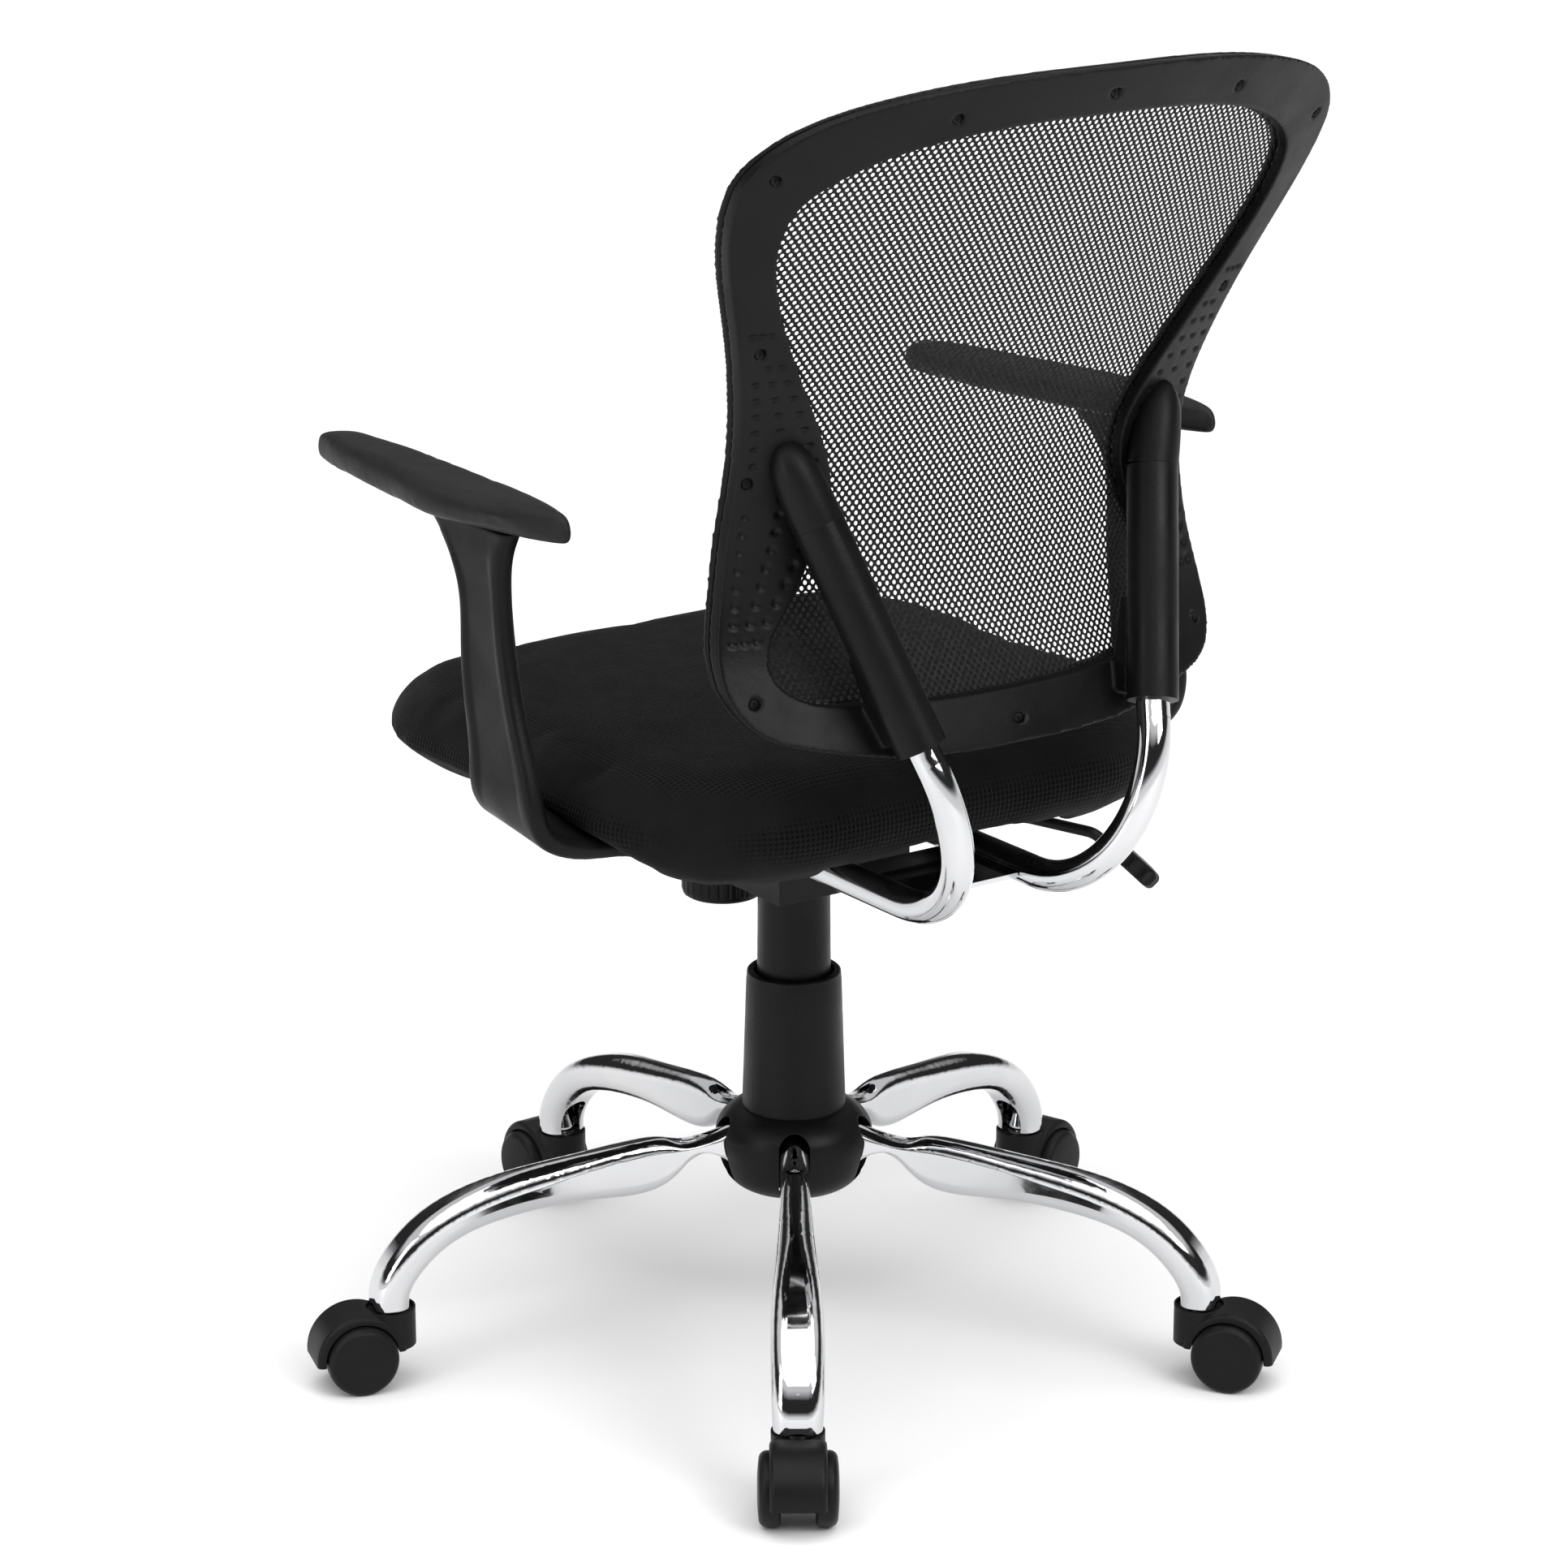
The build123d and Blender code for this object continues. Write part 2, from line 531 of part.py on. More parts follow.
def make_bolts(arm_holes):
    """Flange bolts that hold the arms' feet and the seat plate to the board."""
    return [Pos(x, y, z) * turned([(0, -4.6), (5, -4.6), (5.4, -1.2), (8, -1.2), (8, 0), (0, 0)])
            for x, y, z in arm_holes]


def build_base():
    leg = make_leg()
    keep("base_legs", *[leg_place(k) * leg for k in range(LEG_COUNT)])
    socket = make_socket()
    keep("caster_sockets", *[leg_place(k) * socket for k in range(LEG_COUNT)])
    keep("hub_core", make_hub_core())
    keep("hub_cover", make_hub_cover())
    tube, bushing, cover = make_column()
    keep("column_tube", tube)
    keep("column_bushing", bushing)
    keep("column_cover_lower", cover)


def build_casters():
    hood = make_hood()
    pins = make_caster_pins()
    wheels = {"left": make_wheel(1), "right": make_wheel(-1)}
    for k in range(LEG_COUNT):
        place = leg_place(k) * Pos(STEM_CIRCLE, 0, 0)
        keep(f"caster_{k + 1}_hood", place * hood)
        keep(f"caster_{k + 1}_pins", *[place * pin for pin in pins])
        for side, wheel in wheels.items():
            keep(f"caster_{k + 1}_wheel_{side}", place * wheel)


def build_lift():
    piston, bearing, clip = make_spindle()
    keep("piston_rod", piston)
    keep("thrust_bearing", bearing)
    keep("retaining_clip", clip)
    keep("gas_cylinder", make_gas_cylinder())
    keep("release_button", make_release_button())
    keep("column_cover_upper", turned([(UPPER_COVER_BORE, UPPER_COVER_BOTTOM),
                                       (UPPER_COVER_FOOT_R, UPPER_COVER_BOTTOM),
                                       (UPPER_COVER_HEAD_R, UPPER_COVER_TOP),
                                       (UPPER_COVER_BORE, UPPER_COVER_TOP)]))
    keep("mechanism_housing", make_mechanism())
    keep("tilt_pivot_pin", make_pivot_pin())
    keep("lever_collar", make_lever_collar())
    keep("lever_pin", cross_pin(LEVER_PIN_R))
    lever = make_lever()
    keep("lever_rod", lever)
    keep("lever_paddle", LEVER_PLACE * make_paddle() - lever)


def build_seat():
    keep("tension_spring", make_tilt_spring())
    keep("tension_knob", make_knob())
    keep("tension_bolt", make_bolt())
    keep("seat_plate", make_seat_plate())
    recess = arm_recess()
    keep("seat_board", make_board() - recess - mirrored(recess))
    keep("seat_cushion", make_cushion() - recess - mirrored(recess))
    places = [(side * x, y, z) for side in (-1, 1) for x, y, z in
              ((154, 48, 399.6), (154, 78, 399.6), (72, -110, 398.9), (72, 90, 398.9))]
    bolts = make_bolts(places)
    arm, pad = make_arm() - bolts, make_pad()
    keep("arm_left", arm)
    keep("arm_right", mirrored(arm))
    keep("arm_pad_left", pad)
    keep("arm_pad_right", mirrored(pad))
    keep("seat_bolts", *bolts)


def build_back():
    tube, sleeve, cap = make_back_tube(), make_sleeve(), make_sleeve_cap()
    keep("back_tubes", tube, mirrored(tube))
    keep("tube_cross_plate", make_cross_plate())
    rear, front, net = make_back()
    cap = cap - curved_slab(-0.05, 40) - rod(SLEEVE_FOOT, SLEEVE_SEAM, SLEEVE_R + 1)
    webs = make_web() - rod(SLEEVE_FOOT, SLEEVE_SEAM, SLEEVE_R)
    seats = screw_seats()
    holes = [Pos(x, y - 2, z) * Rot(90, 0, 0) * Cylinder(3.9, 5.2) for x, y, z in seats]
    keep("back_frame_rear", rear + webs + mirrored(webs) - holes)
    keep("back_frame_front", front)
    keep("back_mesh", net)
    keep("sleeve_left", sleeve)
    keep("sleeve_right", mirrored(sleeve))
    keep("sleeve_caps", cap, mirrored(cap))
    keep("frame_screws", *make_screws(seats))


if __name__ == "__main__":
    build_base()
    build_casters()
    build_lift()
    build_seat()
    build_back()
    os.makedirs("parts", exist_ok=True)
    for name, shape in parts.items():
        export_step(shape, f"parts/{name}.step")
        print(name, len(shape.solids()), round(shape.volume))
    print(len(parts), "nodes")
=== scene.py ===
"""Looks of the swivel office chair: camera, light, materials, padded seat, knit and moulded shells."""
import json
import math

import bpy
import numpy as np
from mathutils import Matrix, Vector
from mathutils.bvhtree import BVHTree


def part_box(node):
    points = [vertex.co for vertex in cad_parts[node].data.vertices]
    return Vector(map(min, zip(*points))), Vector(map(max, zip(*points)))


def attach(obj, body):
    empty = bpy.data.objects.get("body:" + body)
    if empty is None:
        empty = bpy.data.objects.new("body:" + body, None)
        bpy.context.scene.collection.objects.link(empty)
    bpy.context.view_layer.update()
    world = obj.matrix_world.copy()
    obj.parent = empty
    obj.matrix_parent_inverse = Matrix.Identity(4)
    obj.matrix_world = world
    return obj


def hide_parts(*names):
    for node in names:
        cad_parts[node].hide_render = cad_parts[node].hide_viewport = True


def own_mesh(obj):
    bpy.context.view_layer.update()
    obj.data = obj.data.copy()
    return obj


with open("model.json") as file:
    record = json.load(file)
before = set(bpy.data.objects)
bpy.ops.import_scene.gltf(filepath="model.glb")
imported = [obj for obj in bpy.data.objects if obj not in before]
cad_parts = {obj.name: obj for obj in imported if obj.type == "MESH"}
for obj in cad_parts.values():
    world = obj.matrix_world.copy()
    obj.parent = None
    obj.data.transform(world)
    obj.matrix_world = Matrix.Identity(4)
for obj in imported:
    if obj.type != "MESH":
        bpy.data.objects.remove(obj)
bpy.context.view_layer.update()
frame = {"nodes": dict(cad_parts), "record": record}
nodes = frame["nodes"]
scene = bpy.context.scene
MM = 0.001

# ---- camera, in metres, and its lens in millimetres on a 36 mm sensor
CAMERA_PLACE = (1.8535, 2.6327, 1.4233)
CAMERA_TARGET = (0.0057, -0.0040, 0.4069)
CAMERA_LENS = 111.8

# ---- seat pad, millimetres
PAD_TUCK = 4               # the pad starts this much inside its solid and swells out
SWELL_CAP = 9              # the most that a point of the pad may move
PAD_VOXEL = 5.5
SEAT_CORNER = 135
FRONT_ROLL = 46            # the front edge rolls down over this length
FRONT_DROP = 17
RIM_RISE = 13              # the pad's lower rim stands this much above the board at the sides
REAR_HANG = 10             # and hangs this far below it at the back
PAD_PRESSURE = 4.0

# ---- where the pad clears the arms' feet, metres
FOOT_FROM, FOOT_TO = 0.12, 0.25    # distances from the seat's middle
FOOT_LOOK = 0.455                  # the height that the feet are looked for from
FOOT_GAP = 0.0012

# ---- knitted back, millimetres
KNIT_ACROSS = 5.2
KNIT_UP = 6.9
HOLE_ACROSS, HOLE_UP = 1.2, 1.5
YARN_RISE = 0.32

# ---- moulded shells, millimetres
FRAME_VOXEL = 1.3
ARM_VOXEL = 1.7
DIMPLE_DEPTH = 1.5
CHANNEL_DEPTH = 1.8

# ---- grip dimples of the back frame, metres
DIMPLE_TOP, DIMPLE_PITCH = 0.787, 0.0113
DIMPLE_ROWS = 19
DIMPLE_ROUND_BELOW = 0.632         # flat slots above this height, round dimples below it

# ---- the rest
PLASTIC_GLOSS = 0.13       # specular level of the black plastics
WORLD_BANDS = [(0.0, 1.0), (0.045, 0.95), (0.12, 0.3), (0.17, 0.03), (0.42, 0.03), (0.56, 0.8),
               (1.0, 0.8)]         # (sine of the elevation, brightness) of the surround


# ---------------------------------------------------------------- materials

class Look:
    """A Principled material with the nodes that its surface detail needs."""

    def __init__(self, name, colour, roughness, metallic=0.0):
        self.material = bpy.data.materials.new(name)
        self.material.use_nodes = True
        self.tree = self.material.node_tree
        self.shader = self.tree.nodes["Principled BSDF"]
        self.shader.inputs["Base Color"].default_value = (*colour, 1)
        self.shader.inputs["Roughness"].default_value = roughness
        self.shader.inputs["Metallic"].default_value = metallic
        self.place = self.add("ShaderNodeTexCoord").outputs["Object"]
        self.normal = None

    def add(self, kind, **settings):
        node = self.tree.nodes.new(kind)
        for name, value in settings.items():
            setattr(node, name, value)
        return node

    def link(self, source, target):
        self.tree.links.new(source, target)

    def fixed(self, **values):
        """Sets numbers that are the same all over, by socket name."""
        for name, value in values.items():
            self.shader.inputs[name.replace("_", " ")].default_value = value

    def noise(self, scale, detail=3.0, stretch=(1, 1, 1)):
        mapping = self.add("ShaderNodeMapping")
        mapping.inputs["Scale"].default_value = stretch
        texture = self.add("ShaderNodeTexNoise")
        texture.inputs["Scale"].default_value = scale
        texture.inputs["Detail"].default_value = detail
        self.link(self.place, mapping.inputs["Vector"])
        self.link(mapping.outputs["Vector"], texture.inputs["Vector"])
        return texture.outputs["Fac"]

    def cells(self, scale, feature="F1"):
        texture = self.add("ShaderNodeTexVoronoi", feature=feature)
        texture.inputs["Scale"].default_value = scale
        self.link(self.place, texture.inputs["Vector"])
        return texture.outputs["Distance"]

    def math(self, operation, first, second=None):
        node = self.add("ShaderNodeMath", operation=operation)
        for socket, value in zip(node.inputs, (first, second)):
            if isinstance(value, (int, float)):
                socket.default_value = value
            elif value is not None:
                self.link(value, socket)
        return node.outputs[0]

    def spread(self, value, low, high, start=0.35, end=0.65):
        """Maps a noise value from start..end to low..high."""
        node = self.add("ShaderNodeMapRange")
        for name, number in (("From Min", start), ("From Max", end), ("To Min", low), ("To Max", high)):
            node.inputs[name].default_value = number
        self.link(value, node.inputs["Value"])
        return node.outputs["Result"]

    def rough(self, value, low, high):
        self.link(self.spread(value, low, high), self.shader.inputs["Roughness"])

    def tint(self, value, dark, light):
        """Mixes the colour between two shades by a value from 0 to 1."""
        node = self.add("ShaderNodeMix", data_type="RGBA")
        node.inputs["A"].default_value = (*dark, 1)
        node.inputs["B"].default_value = (*light, 1)
        self.link(value, node.inputs["Factor"])
        self.link(node.outputs["Result"], self.shader.inputs["Base Color"])

    def soften(self, radius):
        """Rounds the shading of sharp edges over a radius in metres and returns how near an edge is."""
        bevel = self.add("ShaderNodeBevel", samples=4)
        bevel.inputs["Radius"].default_value = radius
        self.normal = bevel.outputs["Normal"]
        flat = self.add("ShaderNodeNewGeometry").outputs["Normal"]
        product = self.add("ShaderNodeVectorMath", operation="DOT_PRODUCT")
        self.link(self.normal, product.inputs[0])
        self.link(flat, product.inputs[1])
        self.link(self.normal, self.shader.inputs["Normal"])
        return self.spread(product.outputs["Value"], 1, 0, 0.86, 0.995)

    def bump(self, height, depth, strength=1.0):
        """Adds relief of a real depth, in metres."""
        node = self.add("ShaderNodeBump")
        node.inputs["Distance"].default_value = depth
        node.inputs["Strength"].default_value = strength
        self.link(height, node.inputs["Height"])
        if self.normal is not None:
            self.link(self.normal, node.inputs["Normal"])
        self.normal = node.outputs["Normal"]
        self.link(self.normal, self.shader.inputs["Normal"])

    def knit(self, pitch):
        """Rows of small round holes on whichever plane the surface faces: 0 in a hole, 1 on yarn."""
        split = self.add("ShaderNodeSeparateXYZ")
        self.link(self.place, split.inputs[0])
        waves = []
        for axis in split.outputs:
            waves.append(self.math("SINE", self.math("MULTIPLY", axis, math.pi / pitch)))
        facing = self.add("ShaderNodeSeparateXYZ")
        self.link(self.add("ShaderNodeNewGeometry").outputs["Normal"], facing.inputs[0])
        total = None
        for k in range(3):
            pair = self.math("MULTIPLY", waves[(k + 1) % 3], waves[(k + 2) % 3])
            weight = self.math("POWER", self.math("ABSOLUTE", facing.outputs[k]), 6.0)
            share = self.math("MULTIPLY", self.math("ABSOLUTE", pair), weight)
            total = share if total is None else self.math("ADD", total, share)
        return self.spread(total, 1, 0, 0.18, 0.6)


def plastic(name, shade, gloss, grain, edge=0.0008):
    """Moulded plastic: eroded grain, faint flow marks, edges worn slightly smoother and painted lighter
    as a highlight.
    """
    look = Look(name, (shade, shade, shade * 1.03), gloss)
    edge_wear_and_highlight = look.soften(edge)
    clouds = look.spread(look.noise(9.0, 4), 0, 0.35)
    # painted highlight: near every edge the colour is lifted to about twice the base shade
    look.tint(look.math("MAXIMUM", clouds, look.math("MULTIPLY", edge_wear_and_highlight, 0.8)),
              (shade * 0.8, shade * 0.8, shade * 0.83), (shade * 2.1, shade * 2.1, shade * 2.15))
    look.rough(look.math("SUBTRACT", look.noise(22.0), look.math("MULTIPLY", edge_wear_and_highlight, 0.12)),
               gloss - 0.07, gloss + 0.07)
    look.bump(look.noise(grain, 2), 0.00012, 0.7)
    look.bump(look.cells(grain * 0.55), 0.00008, 0.5)
    look.fixed(Specular_IOR_Level=PLASTIC_GLOSS)
    return look


def chrome_look():
    """Bright chrome plate, rippled a little by the bending and faintly smudged."""
    look = Look("chrome_plate", (0.6, 0.605, 0.615), 0.06, 1.0)
    look.soften(0.0006)
    look.rough(look.noise(35.0, 5), 0.03, 0.1)
    look.tint(look.spread(look.noise(6.0), 0, 1), (0.56, 0.565, 0.58), (0.65, 0.65, 0.655))
    look.bump(look.noise(11.0, 1), 0.0009, 0.28)
    look.bump(look.noise(420.0, 2), 0.00002, 0.2)
    return look


def steel_look(name, colour, low, high):
    """Turned or plated steel with fine drawn lines."""
    look = Look(name, colour, low, 1.0)
    edge_wear_and_highlight = look.soften(0.0004)
    look.rough(look.noise(60.0, 4), low, high)
    darker = tuple(channel * 0.7 for channel in colour)
    # painted highlight: the colour is also lifted near the edges
    look.tint(look.math("ADD", look.noise(40.0, 4), look.math("MULTIPLY", edge_wear_and_highlight, 0.2)), darker, colour)
    look.bump(look.noise(300.0, 2, (1, 1, 9)), 0.00005, 0.4)
    return look


def powder_look():
    """Black powder coat with orange peel."""
    look = Look("powder_coat", (0.004, 0.004, 0.004), 0.42)
    edge_wear_and_highlight = look.soften(0.0008)
    # painted highlight: the colour is lighter near the edges
    look.tint(edge_wear_and_highlight, (0.0038, 0.0038, 0.004), (0.014, 0.014, 0.014))
    look.rough(look.noise(30.0), 0.38, 0.52)
    look.bump(look.noise(900.0, 2), 0.00009, 0.6)
    look.fixed(Coat_Weight=0.03, Coat_Roughness=0.35, Specular_IOR_Level=0.14)
    return look


def acetal_look():
    look = Look("natural_acetal", (0.72, 0.71, 0.66), 0.4)
    look.soften(0.0005)
    look.tint(look.spread(look.noise(20.0), 0, 1), (0.68, 0.67, 0.61), (0.76, 0.75, 0.71))
    look.rough(look.noise(80.0), 0.34, 0.48)
    look.bump(look.noise(700.0), 0.00004, 0.4)
    look.fixed(Subsurface_Weight=0.05)
    return look


def spacer_look():
    """Black spacer mesh: small round holes in rows, yarn sheen and slow shade changes."""
    look = Look("spacer_mesh", (0.012, 0.012, 0.013), 0.85)
    yarn = look.knit(0.0035)
    clouds = look.math("MULTIPLY", yarn, look.spread(look.noise(5.0, 3), 0.93, 1.0))
    look.tint(clouds, (0.0002, 0.0002, 0.0002), (0.0052, 0.0052, 0.0055))
    look.rough(look.noise(45.0), 0.76, 0.9)
    look.bump(yarn, 0.0009, 0.9)
    look.bump(look.noise(1400.0, 2), 0.00012, 0.5)
    look.fixed(Sheen_Weight=0.03, Sheen_Roughness=0.45, Specular_IOR_Level=0.08)
    return look


def yarn_look():
    """Black polyester yarn of the open back."""
    look = Look("back_yarn", (0.02, 0.02, 0.021), 0.6)
    look.tint(look.spread(look.noise(260.0, 3), 0, 1), (0.003, 0.003, 0.0035), (0.011, 0.011, 0.012))
    look.rough(look.noise(500.0), 0.5, 0.72)
    look.bump(look.noise(2600.0, 2, (1, 1, 0.35)), 0.00012, 0.6)
    look.fixed(Sheen_Weight=0.04, Sheen_Roughness=0.5, Specular_IOR_Level=0.18)
    return look


def foam_look():
    """Self-skinned foam with a fine leather-like grain."""
    look = Look("skinned_foam", (0.03, 0.03, 0.031), 0.55)
    grain = look.cells(620.0, "DISTANCE_TO_EDGE")
    look.tint(look.spread(look.noise(14.0, 4), 0, 1), (0.006, 0.006, 0.0063), (0.0095, 0.0095, 0.0098))
    look.rough(look.noise(28.0), 0.47, 0.6)
    look.bump(grain, 0.00035, 0.35)
    look.bump(look.noise(1100.0, 2), 0.00006, 0.5)
    look.fixed(Coat_Weight=0.03, Coat_Roughness=0.45, Specular_IOR_Level=0.18)
    return look


looks = {
    "chrome": chrome_look(),
    "cap_plastic": plastic("cap_plastic", 0.0042, 0.4, 900.0),
    "wheel_plastic": plastic("wheel_plastic", 0.0055, 0.45, 760.0),
    "steel": steel_look("turned_steel", (0.52, 0.52, 0.53), 0.2, 0.36),
    "bush_plastic": acetal_look(),
    "black_steel": powder_look(),
    "zinc": steel_look("zinc_plate", (0.62, 0.63, 0.6), 0.25, 0.42),
    # near-black board: painted shade standing in for the unlit underside of the seat
    "board": plastic("board_painted_shade", 0.003, 0.6, 500.0),
    "seat_fabric": spacer_look(),
    "arm_plastic": plastic("arm_plastic", 0.0036, 0.42, 820.0),
    "pad_foam": foam_look(),
    "frame_plastic": plastic("frame_plastic", 0.0036, 0.42, 700.0),
    "mesh": yarn_look(),
}


def finish_nodes():
    """Every node of the model gets the material of its slot."""
    for entry in frame["record"]["subparts"]:
        mesh = nodes[entry["node"]].data
        mesh.materials.clear()
        mesh.materials.append(looks[entry["material_slot"]].material)


def squeeze_spring():
    """Gives the tension spring its own copy of its mesh; its shape is left unchanged."""
    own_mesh(nodes["tension_spring"])


# ---------------------------------------------------------------- pieces

def settle(piece, body, slot, *replaced):
    """Gives a piece its body, the material of its slot and smooth shading."""
    piece.data.materials.clear()
    piece.data.materials.append(looks[slot].material)
    for polygon in piece.data.polygons:
        polygon.use_smooth = True
    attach(piece, body)
    if replaced:
        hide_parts(*replaced)
    return piece


def new_object(name, mesh):
    piece = bpy.data.objects.new(name, mesh)
    scene.collection.objects.link(piece)
    return piece


def from_points(name, points, faces):
    mesh = bpy.data.meshes.new(name)
    mesh.from_pydata([tuple(p) for p in points], [], faces)
    mesh.update()
    return new_object(name, mesh)


def applied(piece):
    """Bakes a piece's modifiers into its mesh."""
    bpy.context.view_layer.update()
    shaped = piece.evaluated_get(bpy.context.evaluated_depsgraph_get())
    mesh = bpy.data.meshes.new_from_object(shaped)
    piece.modifiers.clear()
    piece.data = mesh
    return piece


def points_of(piece):
    flat = np.zeros(len(piece.data.vertices) * 3)
    piece.data.vertices.foreach_get("co", flat)
    return flat.reshape(-1, 3)


def normals_of(piece):
    flat = np.zeros(len(piece.data.vertices) * 3)
    piece.data.vertex_normals.foreach_get("vector", flat)
    return flat.reshape(-1, 3)


def set_points(piece, points):
    piece.data.vertices.foreach_set("co", np.ascontiguousarray(points).ravel())
    piece.data.update()


def remeshed(name, source, voxel, smooth, factor=0.5):
    """A copy of a mesh with even small faces and softly rounded edges."""
    piece = new_object(name, source.copy())
    remesh = piece.modifiers.new("even", "REMESH")
    remesh.mode = "VOXEL"
    remesh.voxel_size = voxel * MM
    if smooth:
        rounding = piece.modifiers.new("round", "SMOOTH")
        rounding.factor = factor
        rounding.iterations = smooth
    return applied(piece)


# ---------------------------------------------------------------- seat pad

def seat_ring(inset, height, count=144):
    """Points of the seat's rounded outline, drawn in by an inset, in millimetres."""
    low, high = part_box("seat_cushion")
    centre = (low + high) / 2 / MM
    half = (high - low) / 2 / MM
    corner = max(SEAT_CORNER - inset, 20)
    reach_x, reach_y = half.x - inset - corner, half.y - inset - corner
    ring = []
    for k in range(count):
        angle = 2 * math.pi * (k + 0.5) / count
        side_x, side_y = math.copysign(1, math.cos(angle)), math.copysign(1, math.sin(angle))
        ring.append((centre.x + side_x * max(reach_x, 0) + corner * math.cos(angle),
                     centre.y + side_y * max(reach_y, 0) + corner * math.sin(angle), height))
    return ring


def pad_levels():
    """(inset, height) of the pad's section, from the middle of its underside to that of its top."""
    low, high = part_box("seat_cushion")
    bottom, top = low.z / MM + 0.6, high.z / MM - PAD_TUCK
    edge = [(200, bottom), (120, bottom), (60, bottom), (26, bottom), (14, bottom + 2), (6, bottom + 8)]
    side = [(1.5, bottom + 17), (1.5, bottom + 25), (6, bottom + 35), (15, top - 6)]
    crown = [(32, top - 1), (62, top + 1), (110, top + 2.2), (170, top + 3), (215, top + 3.2)]
    return [(inset + PAD_TUCK * (k > 3), z) for k, (inset, z) in enumerate(edge + side + crown)]


def seat_form(points):
    """Rolls the front edge down, shapes the lower rim and hollows the seat a little."""
    low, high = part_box("seat_cushion")
    bottom, thick = low.z / MM, (high.z - low.z) / MM
    x, y, z = points.T
    front = low.y / MM
    share = np.clip((z - bottom) / thick, 0, 1)
    roll = np.clip((front + 62 - y) / FRONT_ROLL, 0, 1.15)
    drop = FRONT_DROP * roll ** 2 * share
    outward = np.clip((np.hypot(x / 244, (y + 24) / 236) - 0.8) / 0.2, 0, 1)
    rim = np.clip(1 - share / 0.42, 0, 1) * outward
    hollow = 3.5 * np.exp(-((x / 130) ** 2 + ((y - 40) / 120) ** 2)) * share ** 3
    behind = np.clip((y - 92) / 60, 0, 1)
    lift = RIM_RISE * np.clip((160 - y) / 90, 0, 1) - REAR_HANG * behind * behind * (3 - 2 * behind)
    z = z - drop + lift * rim - hollow
    return np.column_stack([x, y, z])


def swell(piece, pressure, cap):
    """Inflates a closed mesh as cloth and caps how far each point moves, in millimetres."""
    rest = points_of(piece)
    cloth = piece.modifiers.new("cloth", "CLOTH")
    cloth.settings.use_pressure = True
    cloth.settings.uniform_pressure_force = pressure
    cloth.settings.effector_weights.gravity = 0
    cloth.settings.quality = 5
    for number in range(1, 21):
        scene.frame_set(number)
    shaped = piece.evaluated_get(bpy.context.evaluated_depsgraph_get())
    flat = np.zeros(len(rest) * 3)
    shaped.data.vertices.foreach_get("co", flat)
    piece.modifiers.clear()
    scene.frame_set(1)
    step = flat.reshape(-1, 3) - rest
    length = np.linalg.norm(step, axis=1, keepdims=True)
    step *= np.minimum(1, cap * MM / np.maximum(length, 1e-9))
    set_points(piece, rest + step)


def clear_feet(points, below):
    """Lifts the pad's lower points over the arms' feet."""
    for side in ("left", "right"):
        foot = shell_tree(f"arm_{side}")
        aside = np.abs(points[:, 0])
        for k in np.nonzero((aside > FOOT_FROM) & (aside < FOOT_TO) & (points[:, 2] < below))[0]:
            above = Vector((points[k, 0], points[k, 1], FOOT_LOOK))
            spot, _, _, _ = foot.ray_cast(above, Vector((0, 0, -1)))
            if spot is not None:
                points[k, 2] = max(points[k, 2], spot.z + FOOT_GAP)


def make_seat_pad():
    """Crowned seat pad: lofted form, swollen as cloth and laid flat on its board."""
    count = 144
    points, faces = [], []
    levels = pad_levels()
    for inset, height in levels:
        points += seat_ring(inset, height, count)
    for ring in range(len(levels) - 1):
        for k in range(count):
            after = (k + 1) % count
            a, b = ring * count, (ring + 1) * count
            faces.append((a + k, b + k, b + after, a + after))
    faces.append(tuple(range(count)))
    faces.append(tuple(reversed(range((len(levels) - 1) * count, len(levels) * count))))
    shaped = seat_form(np.array(points)) * MM
    start = from_points("seat_pad_start", shaped, faces)
    voxel = PAD_VOXEL * 1
    pad = remeshed("seat_pad", start.data, voxel, 2)
    bpy.data.objects.remove(start)
    swell(pad, PAD_PRESSURE, SWELL_CAP)
    board_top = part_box("seat_board")[1].z
    moved = points_of(pad)
    over_board = np.hypot(moved[:, 0] / 0.225, (moved[:, 1] + 0.024) / 0.215) < 1
    lower = over_board & (moved[:, 2] < board_top + 0.012)
    moved[lower, 2] = np.maximum(moved[lower, 2], board_top + 0.0006)
    clear_feet(moved, board_top + 0.035)
    set_points(pad, moved)
    pad.modifiers.new("fine", "SUBSURF").levels = 1
    pad.modifiers["fine"].render_levels = 1
    settle(pad, "seat", "seat_fabric", "seat_cushion")


# ---------------------------------------------------------------- arm pads

def make_arm_pad(side):
    """Leaf-shaped foam pad, swollen slightly from its solid and crowned on top."""
    source = nodes[f"arm_pad_{side}"].data
    pad = remeshed(f"arm_pad_foam_{side}", source, 2.6, 10)
    swell(pad, 3.0, 1.4)
    pad.modifiers.new("fine", "SUBSURF").levels = 1
    pad.modifiers["fine"].render_levels = 1
    settle(pad, "seat", "pad_foam", f"arm_pad_{side}")


# ---------------------------------------------------------------- arms

